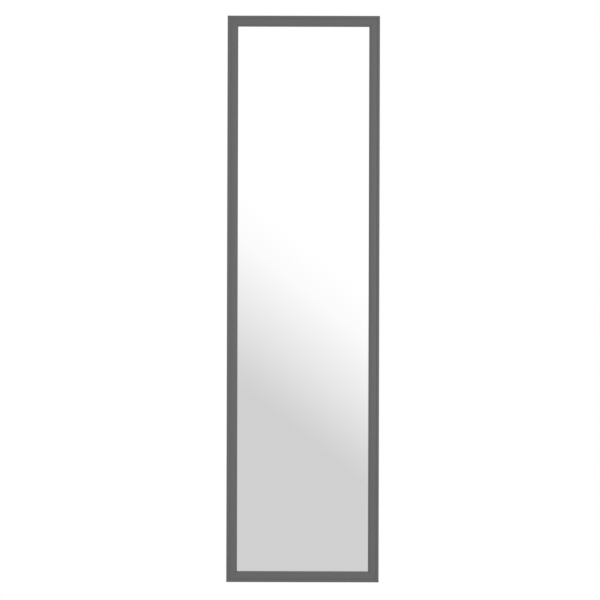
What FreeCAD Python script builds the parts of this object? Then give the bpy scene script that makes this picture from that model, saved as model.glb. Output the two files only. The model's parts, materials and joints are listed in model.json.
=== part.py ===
import FreeCAD, Part
import os
import Sketcher

# Over-the-door mirror: a mitred moulding frame around a silvered pane, hung from two slotted straps.
# X runs to the viewer's right, Y from the viewer towards the door, and Z up.
# The origin is the middle of the door's top front edge, with the straps at their lowest setting.

# Driving dimensions in millimetres: alias, value, what it measures
driving_sizes = [
    ("pane_width", 304.8, "mirror glass width"),
    ("pane_height", 1219.2, "mirror glass height"),
    ("pane_thick", 2.0, "mirror glass thickness"),
    ("pane_cover", 7.65, "how far the moulding covers the glass"),
    ("edge_gap", 0.65, "free gap between the glass edge and the rebate wall"),
    ("board_thick", 3.0, "backing board thickness"),
    ("rail_face", 23.5, "moulding width seen from the front"),
    ("rebate_depth", 9.0, "moulding back to the seat of the glass"),
    ("sight_edge", 3.0, "moulding thickness in front of the glass at the sight edge"),
    ("sight_band", 3.6, "width of the sloping band beside the glass"),
    ("sight_rise", 0.7, "rise of that band towards the main face"),
    ("sight_step", 0.7, "step from that band up to the main face"),
    ("face_crown", 0.35, "crown of the main face"),
    ("bead_width", 6.6, "width of the outer bead"),
    ("bead_crown", 2.0, "bead crest above the line between its feet"),
    ("bead_drop", 0.8, "outer foot of the bead below the main face"),
    ("nail_thick", 0.6, "sheet thickness of a V-nail"),
    ("nail_depth", 8.0, "how deep a V-nail is driven"),
    ("nail_inset", 3.2, "first V-nail's point from the frame's outer edges"),
    ("nail_pitch", 5.0, "step to the second V-nail's point along both edges"),
    ("nail_margin", 1.0, "V-nail ends to the rebate wall"),
    ("point_width", 5.0, "width of a retaining point"),
    ("point_thick", 0.5, "sheet thickness of a retaining point"),
    ("point_grip", 6.0, "length of a retaining point in the moulding"),
    ("point_reach", 7.0, "length of a retaining point over the board"),
    ("points_per_stile", 5, "retaining points along each long side"),
    ("points_per_rail", 2, "retaining points along each short side"),
    ("door_thick", 35.0, "door that the straps go over"),
    ("door_play", 0.8, "play between the door and the lip pad"),
    ("door_gap", 0.6, "screw heads to the door face"),
    ("strap_spacing", 180.0, "distance between the middles of the two straps"),
    ("strap_width", 40.0, "hanger strap width"),
    ("strap_thick", 1.5, "hanger strap thickness"),
    ("strap_bend", 1.5, "inside radius of the strap's bends"),
    ("strap_corner", 5.0, "corner radius at the strap's two ends"),
    ("strap_margin", 10.0, "strap below its slots"),
    ("strap_gap", 0.15, "running gap in front of and behind the strap"),
    ("lip_drop", 30.0, "strap lip length behind the door"),
    ("travel", 75.0, "height adjustment"),
    ("slot_pitch", 20.0, "distance between the two slots of a strap"),
    ("slot_gap", 0.35, "gap between a screw and its slot"),
    ("pad_thick", 1.5, "felt pad thickness"),
    ("pad_margin", 3.0, "strap edge to felt pad edge"),
    ("screw_radius", 2.1, "screw shank radius"),
    ("screw_length", 12.7, "screw length under the head"),
    ("screw_tip", 2.5, "length of the screw's cone tip"),
    ("head_radius", 3.9, "pan head radius"),
    ("head_height", 2.4, "pan head height"),
    ("head_side", 1.2, "straight side of the pan head"),
    ("recess_depth", 1.3, "cross recess depth"),
    ("recess_length", 4.4, "cross recess arm, tip to tip"),
    ("recess_width", 1.0, "cross recess arm width"),
    ("washer_radius", 4.6, "washer outer radius"),
    ("washer_thick", 0.8, "washer thickness"),
    ("washer_gap", 0.15, "gap between washer and screw shank"),
    ("washer_drop", 0.8, "washer rim below the start of the strap's top bend"),
    ("bumper_base", 6.0, "bumper radius on the frame"),
    ("bumper_tip", 5.0, "bumper radius on the door"),
    ("bumper_inset", 48.0, "bumper middle from the frame's top or bottom"),
]

# Places and sizes that follow from the driving dimensions and from earlier lines of this list
worked_out_sizes = [
    ("outer_width", "Sizes.pane_width + 2 * (Sizes.rail_face - Sizes.pane_cover)"),
    ("outer_height", "Sizes.pane_height + 2 * (Sizes.rail_face - Sizes.pane_cover)"),
    ("half_width", "outer_width / 2"),
    ("back_width", "Sizes.rail_face - Sizes.pane_cover - Sizes.edge_gap"),
    ("sight_front", "Sizes.rebate_depth + Sizes.sight_edge"),
    ("face_front", "sight_front + Sizes.sight_rise + Sizes.sight_step"),
    ("face_width", "Sizes.rail_face - Sizes.bead_width - Sizes.sight_band"),
    ("bead_chord", "sqrt(Sizes.bead_width ^ 2 + Sizes.bead_drop ^ 2)"),
    ("nail_leg", "back_width - Sizes.nail_inset - Sizes.nail_pitch - Sizes.nail_margin"),
    ("stile_step", "Sizes.pane_height / Sizes.points_per_stile"),
    ("rail_step", "Sizes.pane_width / Sizes.points_per_rail"),
    ("strap_stack", "Sizes.strap_thick + 2 * Sizes.strap_gap"),
    ("rail_back", "-strap_stack - Sizes.washer_thick - Sizes.head_height - Sizes.door_gap"),
    ("pane_front", "rail_back - Sizes.rebate_depth"),
    ("board_front", "pane_front + Sizes.pane_thick"),
    ("board_back", "board_front + Sizes.board_thick"),
    ("strap_front", "rail_back + Sizes.strap_gap"),
    ("strap_back", "strap_front + Sizes.strap_thick"),
    ("washer_back", "rail_back + strap_stack + Sizes.washer_thick"),
    ("strap_top", "Sizes.pad_thick + Sizes.strap_thick"),
    ("bend_start", "Sizes.pad_thick - Sizes.strap_bend"),
    ("outer_bend", "Sizes.strap_bend + Sizes.strap_thick"),
    ("lip_front", "Sizes.door_thick + Sizes.door_play + Sizes.pad_thick"),
    ("lip_back", "lip_front + Sizes.strap_thick"),
    ("lip_end", "strap_top - Sizes.lip_drop"),
    ("pad_width", "Sizes.strap_width - 2 * Sizes.pad_margin"),
    ("slot_radius", "Sizes.screw_radius + Sizes.slot_gap"),
    ("screw_line", "bend_start - Sizes.washer_radius - Sizes.washer_drop"),
    ("slot_end", "screw_line - Sizes.travel"),
    ("strap_end", "slot_end - slot_radius - Sizes.strap_margin"),
    ("frame_top", "screw_line + back_width / 2"),
    ("frame_middle", "frame_top - outer_height / 2"),
    ("frame_bottom", "frame_top - outer_height"),
    ("stile_middle", "half_width - back_width / 2"),
]

# The frame's four lengths, clockwise from the top: label, corner at its start, length,
# middle of its outer edge in X and Z, and turn about Y in degrees
frame_lengths = [
    ("top_rail", "top_left", "Places.outer_width", "0", "Places.frame_top", 0),
    ("right_stile", "top_right", "Places.outer_height", "Places.half_width", "Places.frame_middle", 90),
    ("bottom_rail", "bottom_right", "Places.outer_width", "0", "Places.frame_bottom", 180),
    ("left_stile", "bottom_left", "Places.outer_height", "-Places.half_width", "Places.frame_middle", 270),
]

# Left and right of the middle, with the sign of X
sides = [("left", "-1"), ("right", "1")]

doc = FreeCAD.newDocument("over_the_door_mirror")
sizes = doc.addObject("Spreadsheet::Sheet", "Sizes")
for row, (alias, value, meaning) in enumerate(driving_sizes, start=1):
    sizes.set(f"A{row}", meaning)
    sizes.set(f"B{row}", str(value))
    sizes.setAlias(f"B{row}", alias)
places = doc.addObject("Spreadsheet::Sheet", "Places")
for row, (alias, formula) in enumerate(worked_out_sizes, start=1):
    places.set(f"A{row}", alias)
    places.set(f"B{row}", f"={formula}")
    places.setAlias(f"B{row}", alias)
doc.recompute()

nodes = []


def keep(piece, label):
    piece.Label = label
    nodes.append(piece)
    return piece


def bind(piece, **formulas):
    for name, formula in formulas.items():
        piece.setExpression(name, formula)


def put(piece, x="0", y="0", z="0", axis=(0, 1, 0), turn=0):
    rotation = FreeCAD.Rotation(FreeCAD.Vector(*axis), turn)
    piece.Placement = FreeCAD.Placement(FreeCAD.Vector(), rotation)
    for name, place in zip("xyz", (x, y, z)):
        piece.setExpression(f"Placement.Base.{name}", place)


def new_box(label, width, depth, height, x, y, z):
    box = doc.addObject("Part::Box", label)
    bind(box, Length=width, Width=depth, Height=height)
    put(box, x, y, z)
    keep(box, label)


def new_body(name):
    return doc.addObject("PartDesign::Body", name)


def origin_feature(body, role):
    return next(feature for feature in body.Origin.OriginFeatures if feature.Role == role)


def new_sketch(body, name, role, lift="0"):
    sketch = body.newObject("Sketcher::SketchObject", name)
    sketch.AttachmentSupport = [(origin_feature(body, role), "")]
    sketch.MapMode = "FlatFace"
    sketch.setExpression("AttachmentOffset.Base.z", lift)
    return sketch


def worth(sketch, formula):
    return float(sketch.evalExpression(formula))


def spot(sketch, u, v):
    return FreeCAD.Vector(worth(sketch, u), worth(sketch, v))


def fix_size(sketch, formula, kind, *points):
    row = sketch.addConstraint(Sketcher.Constraint(kind, *points, worth(sketch, formula)))
    sketch.setExpression(f"Constraints[{row}]", formula)


def fix_point(sketch, geometry, end, u, v):
    origin = (-1, 1)
    fix_size(sketch, u, "DistanceX", *origin, geometry, end)
    fix_size(sketch, v, "DistanceY", *origin, geometry, end)


def arc_radius(chord, crown):
    # Radius of an arc, from its chord and the height of its crest above that chord.
    return f"(({chord}) ^ 2 / 4 + ({crown}) ^ 2) / (2 * ({crown}))"


def arc_middle(start, end, radius, bulge):
    # Crest of the short arc from start to end: right of the way there for a bulge of 1, left of it for -1.
    half = (end - start) * 0.5
    outward = FreeCAD.Vector(half.y, -half.x) * (bulge / half.Length)
    crown = radius - (radius ** 2 - half.Length ** 2) ** 0.5
    return start + half + outward * crown


def draw_outline(sketch, corners):
    # A corner is (u, v), or (u, v, radius, bulge) where an arc runs from it to the next corner.
    first = sketch.GeometryCount
    spots = [spot(sketch, *corner[:2]) for corner in corners]
    ends = []
    for corner, start, end in zip(corners, spots, spots[1:] + spots[:1]):
        if len(corner) == 2:
            sketch.addGeometry(Part.LineSegment(start, end))
            ends.append((1, 2))
            continue
        radius, bulge = corner[2:]
        middle = arc_middle(start, end, worth(sketch, radius), bulge)
        if bulge > 0:
            sketch.addGeometry(Part.Arc(start, middle, end))
            ends.append((1, 2))
        else:
            sketch.addGeometry(Part.Arc(end, middle, start))
            ends.append((2, 1))
    for index, corner in enumerate(corners):
        following = (index + 1) % len(corners)
        meeting = (first + index, ends[index][1], first + following, ends[following][0])
        sketch.addConstraint(Sketcher.Constraint("Coincident", *meeting))
        fix_point(sketch, first + index, ends[index][0], *corner[:2])
        if len(corner) > 2:
            fix_size(sketch, corner[2], "Radius", first + index)


def draw_circle(sketch, u, v, radius):
    normal = FreeCAD.Vector(0, 0, 1)
    circle = sketch.addGeometry(Part.Circle(spot(sketch, u, v), normal, worth(sketch, radius)))
    fix_point(sketch, circle, 3, u, v)
    fix_size(sketch, radius, "Radius", circle)


def draw_upright_slot(sketch, u, top, bottom, radius):
    across = FreeCAD.Vector(worth(sketch, radius), 0)
    along = FreeCAD.Vector(0, worth(sketch, radius))
    high = spot(sketch, u, top)
    low = spot(sketch, u, bottom)
    upper = sketch.addGeometry(Part.Arc(high + across, high + along, high - across))
    left = sketch.addGeometry(Part.LineSegment(high - across, low - across))
    lower = sketch.addGeometry(Part.Arc(low - across, low - along, low + across))
    right = sketch.addGeometry(Part.LineSegment(low + across, high + across))
    loop = (upper, left, lower, right, upper)
    for this, following in zip(loop, loop[1:]):
        sketch.addConstraint(Sketcher.Constraint("Tangent", this, 2, following, 1))
    sketch.addConstraint(Sketcher.Constraint("Equal", upper, lower))
    fix_point(sketch, upper, 3, u, top)
    fix_point(sketch, lower, 3, u, bottom)
    fix_size(sketch, radius, "Radius", upper)


def pad(body, sketch, length, side="One side", reverse=False):
    feature = body.newObject("PartDesign::Pad", f"{sketch.Name}_pad")
    feature.Profile = sketch
    feature.SideType = side
    feature.Reversed = reverse
    bind(feature, Length=length)
    doc.recompute()
    return feature


def pocket(body, sketch, length, side="One side"):
    before = body.Shape.Volume
    feature = body.newObject("PartDesign::Pocket", f"{sketch.Name}_cut")
    feature.Profile = sketch
    feature.SideType = side
    bind(feature, Length=length)
    doc.recompute()
    if not body.Shape.Volume < before:
        raise RuntimeError(f"{feature.Name} removes nothing")
    return feature


def repeat_along_x(body, features, span, count):
    pattern = body.newObject("PartDesign::LinearPattern", f"{body.Name}_row")
    pattern.Originals = features
    pattern.Direction = (origin_feature(body, "X_Axis"), [""])
    bind(pattern, Length=span, Occurrences=count)
    body.Tip = pattern
    doc.recompute()


# Mirror pane and backing board, one behind the other in the rebate
def make_pane_and_board():
    x = "-Sizes.pane_width / 2"
    z = "Places.frame_middle - Sizes.pane_height / 2"
    for label, thick, front in (
        ("mirror_pane", "Sizes.pane_thick", "Places.pane_front"),
        ("backing_board", "Sizes.board_thick", "Places.board_front"),
    ):
        new_box(label, "Sizes.pane_width", thick, "Sizes.pane_height", x, front, z)


# V-nails: two across the mitre at a length's start, driven from the back, pointing at the frame's corner
def make_corner_nails(label, length, x, z, turn):
    body = new_body(label)
    sketch = new_sketch(body, f"{label}_outline", "XZ_Plane")
    for step in ("0", "Sizes.nail_pitch"):
        near = f"(Sizes.nail_inset + {step})"
        inner = f"({near} + Sizes.nail_thick)"
        far = f"({near} + Places.nail_leg)"
        vee = [(near, near), (near, far), (inner, far), (inner, inner), (far, inner), (far, near)]
        draw_outline(sketch, [(f"{u} - {length} / 2", f"-{v}") for u, v in vee])
    pad(body, sketch, "Sizes.nail_depth")
    put(body, x, "Places.rail_back", z, turn=turn)
    return keep(body, label)


# Retaining points: a row of pointed tabs driven into a length's rebate wall, lying flat on the board
def make_points(label, x, z, turn, step, count):
    body = new_body(label)
    sketch = new_sketch(body, f"{label}_outline", "XZ_Plane")
    span = f"{step} * ({count} - 1)"
    left = f"-({span} + Sizes.point_width) / 2"
    right = f"(Sizes.point_width - {span}) / 2"
    tail = "-Places.back_width - Sizes.point_reach"
    tip = "Sizes.point_grip - Places.back_width"
    shoulder = f"{tip} - Sizes.point_width / 2"
    middle = f"-{span} / 2"
    draw_outline(sketch, [(left, tail), (right, tail), (right, shoulder), (middle, tip), (left, shoulder)])
    tab = pad(body, sketch, "Sizes.point_thick", reverse=True)
    repeat_along_x(body, [tab], span, count)
    put(body, x, "Places.board_back", z, turn=turn)
    return keep(body, label)


# Pan-head screws of one strap, side by side, with a cross recess in each head
def make_screws(label, side):
    body = new_body(label)
    profile = new_sketch(body, f"{label}_profile", "XY_Plane")
    dome = arc_radius("2 * Sizes.head_radius", "Sizes.head_height - Sizes.head_side")
    draw_outline(profile, [
        ("0", "-Sizes.screw_length"),
        ("Sizes.screw_radius", "Sizes.screw_tip - Sizes.screw_length"),
        ("Sizes.screw_radius", "0"),
        ("Sizes.head_radius", "0"),
        ("Sizes.head_radius", "Sizes.head_side", dome, 1),
        ("0", "Sizes.head_height"),
    ])
    turned = body.newObject("PartDesign::Revolution", f"{label}_turned")
    turned.Profile = profile
    turned.ReferenceAxis = (origin_feature(body, "Y_Axis"), [""])
    turned.Angle = 360
    doc.recompute()
    cross = new_sketch(body, f"{label}_recess", "XZ_Plane", "Sizes.recess_depth - Sizes.head_height")
    far = "Sizes.recess_length / 2"
    near = "Sizes.recess_width / 2"
    quarter = [(far, near), (near, near), (near, far)]
    corners = list(quarter)
    for _ in range(3):
        quarter = [(f"-({v})", u) for u, v in quarter]
        corners += quarter
    draw_outline(cross, corners)
    recess = pocket(body, cross, "Sizes.recess_depth")
    repeat_along_x(body, [turned, recess], "Sizes.slot_pitch", "2")
    first = f"({side} * Sizes.strap_spacing - Sizes.slot_pitch) / 2"
    put(body, first, "Places.washer_back", "Places.screw_line")
    return keep(body, label)


# Flat washers under the screw heads of one strap
def make_washers(label, side):
    body = new_body(label)
    sketch = new_sketch(body, f"{label}_outline", "XZ_Plane")
    for _, slot in sides:
        middle = f"{slot} * Sizes.slot_pitch / 2"
        draw_circle(sketch, middle, "0", "Sizes.washer_radius")
        draw_circle(sketch, middle, "0", "Sizes.screw_radius + Sizes.washer_gap")
    pad(body, sketch, "Sizes.washer_thick")
    put(body, f"{side} * Sizes.strap_spacing / 2", "Places.washer_back", "Places.screw_line")
    keep(body, label)


# Rail blank: the moulding's section drawn with its outer edge on top, then mitred at both ends
def make_rail_blank(label, length, x, z, turn):
    body = new_body(f"{label}_blank")
    section = new_sketch(body, f"{label}_section", "YZ_Plane")
    step_line = "Sizes.sight_band - Sizes.rail_face"
    crowned = arc_radius("Places.face_width", "Sizes.face_crown")
    beaded = arc_radius("Places.bead_chord", "Sizes.bead_crown")
    draw_outline(section, [
        ("0", "0"),
        ("0", "-Places.back_width"),
        ("-Sizes.rebate_depth", "-Places.back_width"),
        ("-Sizes.rebate_depth", "-Sizes.rail_face"),
        ("-Places.sight_front", "-Sizes.rail_face"),
        ("-Places.sight_front - Sizes.sight_rise", step_line),
        ("-Places.face_front", step_line, crowned, -1),
        ("-Places.face_front", "-Sizes.bead_width", beaded, -1),
        ("Sizes.bead_drop - Places.face_front", "0"),
    ])
    pad(body, section, length, "Symmetric")
    mitres = new_sketch(body, f"{label}_mitres", "XZ_Plane")
    beyond = "Sizes.rail_face"
    for _, end in sides:
        draw_outline(mitres, [
            (f"{end} * ({length} / 2 + {beyond})", beyond),
            (f"{end} * ({length} / 2 + {beyond})", f"-2 * {beyond}"),
            (f"{end} * ({length} / 2 - 2 * {beyond})", f"-2 * {beyond}"),
        ])
    pocket(body, mitres, "4 * Places.face_front", "Symmetric")
    put(body, x, "Places.rail_back", z, turn=turn)
    return body


# Frame: each blank with the seats that the nails, points and screws make as they are driven in
def make_frame():
    nails = []
    points = []
    for label, corner, length, x, z, turn in frame_lengths:
        nails.append(make_corner_nails(f"{corner}_corner_nails", length, x, z, turn))
        kind = "stile" if label.endswith("stile") else "rail"
        spacing = (f"Places.{kind}_step", f"Sizes.points_per_{kind}")
        points.append(make_points(f"{label}_points", x, z, turn, *spacing))
    screws = [make_screws(f"{name}_hanger_screws", side) for name, side in sides]
    for index, (label, _, length, x, z, turn) in enumerate(frame_lengths):
        seats = doc.addObject("Part::Compound", f"{label}_seats")
        seats.Links = [nails[index], nails[(index + 1) % len(nails)], points[index]]
        if label == "top_rail":
            seats.Links += screws
        rail = doc.addObject("Part::Cut", label)
        rail.Base = make_rail_blank(label, length, x, z, turn)
        rail.Tool = seats
        keep(rail, label)


# Hanger strap: down the frame's back, over the door and down behind it, with two slots in the front leg
def make_strap(label, side):
    body = new_body(label)
    bent = new_sketch(body, f"{label}_section", "YZ_Plane")
    inside = "Sizes.strap_bend"
    outside = "Places.outer_bend"
    draw_outline(bent, [
        ("Places.strap_front", "Places.strap_end"),
        ("Places.strap_back", "Places.strap_end"),
        ("Places.strap_back", "Places.bend_start", inside, -1),
        (f"Places.strap_back + {inside}", "Sizes.pad_thick"),
        (f"Places.lip_front - {inside}", "Sizes.pad_thick", inside, -1),
        ("Places.lip_front", "Places.bend_start"),
        ("Places.lip_front", "Places.lip_end"),
        ("Places.lip_back", "Places.lip_end"),
        ("Places.lip_back", "Places.bend_start", outside, 1),
        (f"Places.lip_back - {outside}", "Places.strap_top"),
        (f"Places.strap_front + {outside}", "Places.strap_top", outside, 1),
        ("Places.strap_front", "Places.bend_start"),
    ])
    strip = pad(body, bent, "Sizes.strap_width", "Symmetric")
    end_heights = (places.get("strap_end"), places.get("lip_end"))
    close = 1e-6
    corners = []
    for index, edge in enumerate(strip.Shape.Edges, start=1):
        box = edge.BoundBox
        through = abs(box.YLength - sizes.get("strap_thick")) < close and box.ZLength < close
        if through and any(abs(box.ZMin - height) < close for height in end_heights):
            corners.append(f"Edge{index}")
    rounded = body.newObject("PartDesign::Fillet", f"{label}_corners")
    rounded.Base = (strip, corners)
    bind(rounded, Radius="Sizes.strap_corner")
    doc.recompute()
    slots = new_sketch(body, f"{label}_slots", "XZ_Plane", "-Places.strap_front")
    for _, slot in sides:
        middle = f"{slot} * Sizes.slot_pitch / 2"
        draw_upright_slot(slots, middle, "Places.screw_line", "Places.slot_end", "Places.slot_radius")
    pocket(body, slots, "Sizes.strap_thick")
    put(body, f"{side} * Sizes.strap_spacing / 2")
    keep(body, label)


# Felt pads of one strap: one on the door's top edge, one on the lip behind the door
def make_pads(name, side):
    x = f"{side} * Sizes.strap_spacing / 2 - Places.pad_width / 2"
    new_box(f"{name}_seat_pad", "Places.pad_width", "Sizes.door_thick", "Sizes.pad_thick", x, "0", "0")
    front = "Places.lip_front - Sizes.pad_thick"
    bottom = "Places.lip_end + Sizes.pad_margin"
    height = "Places.bend_start - Places.lip_end - 2 * Sizes.pad_margin"
    new_box(f"{name}_lip_pad", "Places.pad_width", "Sizes.pad_thick", height, x, front, bottom)


# Rubber bumper on a stile's back, tapering towards the door
def make_bumper(label, side, z):
    bumper = doc.addObject("Part::Cone", label)
    bind(bumper, Radius1="Sizes.bumper_base", Radius2="Sizes.bumper_tip", Height="-Places.rail_back")
    put(bumper, f"{side} * Places.stile_middle", "Places.rail_back", z, axis=(1, 0, 0), turn=-90)
    keep(bumper, label)


def check_and_write():
    doc.recompute()
    for piece in doc.Objects:
        if {"Invalid", "Error"} & set(piece.State):
            raise RuntimeError(f"{piece.Label}: {piece.State}")
    for piece in nodes:
        if piece.Shape.isNull() or not piece.Shape.isValid() or not piece.Shape.Solids:
            raise RuntimeError(f"{piece.Label} has no valid solid")
    os.makedirs("parts", exist_ok=True)
    for piece in nodes:
        piece.Shape.exportStep(f"parts/{piece.Label}.step")
        print(f"{piece.Label}: {len(piece.Shape.Solids)} solids, {piece.Shape.Volume:.1f} mm3")


make_pane_and_board()
make_frame()
for name, side in sides:
    make_washers(f"{name}_hanger_washers", side)
    make_strap(f"{name}_hanger_strap", side)
    make_pads(name, side)
    make_bumper(f"top_{name}_bumper", side, "Places.frame_top - Sizes.bumper_inset")
    make_bumper(f"bottom_{name}_bumper", side, "Places.frame_bottom + Sizes.bumper_inset")
check_and_write()
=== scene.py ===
import bmesh
import bpy
import json
import math
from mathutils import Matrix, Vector, noise


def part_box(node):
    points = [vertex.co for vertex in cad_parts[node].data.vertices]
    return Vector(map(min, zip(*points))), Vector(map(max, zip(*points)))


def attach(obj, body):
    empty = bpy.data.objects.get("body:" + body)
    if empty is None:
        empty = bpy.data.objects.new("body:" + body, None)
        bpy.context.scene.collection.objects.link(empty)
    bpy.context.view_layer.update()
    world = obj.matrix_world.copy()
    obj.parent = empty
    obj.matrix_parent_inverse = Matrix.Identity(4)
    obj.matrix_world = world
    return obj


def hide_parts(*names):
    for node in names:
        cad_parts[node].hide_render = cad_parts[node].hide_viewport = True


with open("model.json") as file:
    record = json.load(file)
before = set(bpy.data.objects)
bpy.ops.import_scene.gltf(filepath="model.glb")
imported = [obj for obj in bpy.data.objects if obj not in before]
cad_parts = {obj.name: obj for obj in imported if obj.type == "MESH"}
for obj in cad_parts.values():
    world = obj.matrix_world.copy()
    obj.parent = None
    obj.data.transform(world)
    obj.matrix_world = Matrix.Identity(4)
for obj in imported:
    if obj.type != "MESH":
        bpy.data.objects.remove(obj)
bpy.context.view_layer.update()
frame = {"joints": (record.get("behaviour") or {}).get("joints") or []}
mm = 0.001
quarterTurn = math.pi / 2


def linear(hexColour):  # sRGB hex to the linear RGBA that sockets take
    channels = [int(hexColour[i:i + 2], 16) / 255 for i in (1, 3, 5)]
    return [c / 12.92 if c <= 0.04045 else ((c + 0.055) / 1.055) ** 2.4 for c in channels] + [1.0]


def addNode(tree, kind, inputs=None, **settings):  # one node, its settings and what its sockets get
    node = tree.nodes.new(kind)
    for name, value in settings.items():
        setattr(node, name, value)
    for socket, value in (inputs or {}).items():
        sources = value if isinstance(value, tuple) else (value,)
        for source in sources:
            if isinstance(source, bpy.types.Node):  # a node stands for its first output
                source = source.outputs[0]
            if isinstance(source, bpy.types.NodeSocket):
                tree.links.new(source, node.inputs[socket])
            else:
                node.inputs[socket].default_value = source
    return node


def newMaterial(name):
    material = bpy.data.materials.new(name)
    material.use_nodes = True
    material.node_tree.nodes.clear()
    return material, material.node_tree


# How each finish ends: one pattern leads it between two colours, one between two roughnesses, and one
# gives it relief.
def finishSurface(tree, look, colourBy=None, roughBy=None, reliefBy=None, sockets=None):
    given = dict(sockets or {})
    if colourBy:
        first, second = [linear(colour) for colour in look["colours"]]
        tint = addNode(tree, "ShaderNodeMix", {0: colourBy, 6: first, 7: second}, data_type="RGBA")
        given["Base Color"] = tint.outputs[2]
    if roughBy:
        given["Roughness"] = addNode(tree, "ShaderNodeMapRange", {
            "Value": roughBy, "To Min": look["roughness"][0], "To Max": look["roughness"][1]})
    if reliefBy:
        given["Normal"] = addNode(tree, "ShaderNodeBump", {
            "Height": reliefBy, "Distance": look["relief"], "Strength": look.get("reliefShare", 1.0)})
    surface = addNode(tree, "ShaderNodeBsdfPrincipled", given)
    addNode(tree, "ShaderNodeOutputMaterial", {"Surface": surface})


# Foamed polystyrene moulding, extruded and sprayed satin grey: faint drag lines along each length,
# a little orange peel, and a coat that is a shade thinner in streaks.
def paintedMoulding():
    look = {"colours": ("#545454", "#5b5b5b"),  # full coat, thin coat
            "roughness": (0.42, 0.56), "dragWidth": 0.9 * mm, "dragLength": 80 * mm, "peel": 1.5 * mm,
            "relief": 0.03 * mm, "reliefShare": 0.7}
    material, tree = newMaterial("polystyreneExtrudedSatinPaint")
    along = addNode(tree, "ShaderNodeAttribute", attribute_name="mouldingSpace").outputs["Vector"]
    stretch = addNode(tree, "ShaderNodeMapping", {
        "Vector": along, "Scale": [1 / look["dragLength"], 1 / look["dragWidth"], 1 / look["dragWidth"]]})
    drag = addNode(tree, "ShaderNodeTexNoise", {"Vector": stretch, "Scale": 1.0, "Detail": 3.0})
    peel = addNode(tree, "ShaderNodeTexNoise", {"Vector": along, "Scale": 1 / look["peel"], "Detail": 2.0})
    height = addNode(tree, "ShaderNodeMath", {0: drag, 1: peel}, operation="ADD")
    finishSurface(tree, look, colourBy=drag, roughBy=peel, reliefBy=height, sockets={"IOR": 1.49})
    return material


# Float glass silvered on its back: a clean reflection, with the faint wave that the float bath leaves
# and a breath of haze from wiping.
def silveredGlass():
    look = {"silver": "#f5f5f5", "roughness": (0.0, 0.02), "haze": 30 * mm, "wave": 170 * mm,
            "relief": 0.003 * mm}
    material, tree = newMaterial("floatGlassSilvered")
    where = addNode(tree, "ShaderNodeTexCoord").outputs["Object"]
    wave = addNode(tree, "ShaderNodeTexNoise", {"Vector": where, "Scale": 1 / look["wave"], "Detail": 0.0})
    haze = addNode(tree, "ShaderNodeTexNoise", {"Vector": where, "Scale": 1 / look["haze"], "Detail": 4.0})
    finishSurface(tree, look, roughBy=haze, reliefBy=wave,
                  sockets={"Base Color": linear(look["silver"]), "Metallic": 1.0})
    return material


# The pane's edge, ground with a fine belt: sea green, frosted by a grit drawn coarser so that it shows.
def groundGlassEdge():
    look = {"colours": ("#8fb0a3", "#c3d3cc"), "grit": 0.5 * mm}  # glass, frost
    material, tree = newMaterial("floatGlassGroundEdge")
    where = addNode(tree, "ShaderNodeTexCoord").outputs["Object"]
    grit = addNode(tree, "ShaderNodeTexNoise", {"Vector": where, "Scale": 1 / look["grit"], "Detail": 3.0})
    finishSurface(tree, look, colourBy=grit, sockets={"Roughness": 0.45, "IOR": 1.52})
    return material


# Backing paint over the silver, curtain coated: flat blue grey with a slight mottle.
def mirrorBackPaint():
    look = {"colours": ("#66707a", "#737c85"), "mottle": 12 * mm}  # paint, paler patches
    material, tree = newMaterial("mirrorBackPaintCoated")
    where = addNode(tree, "ShaderNodeTexCoord").outputs["Object"]
    mottle = addNode(tree, "ShaderNodeTexNoise", {
        "Vector": where, "Scale": 1 / look["mottle"], "Detail": 5.0})
    finishSurface(tree, look, colourBy=mottle, sockets={"Roughness": 0.6})
    return material


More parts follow.
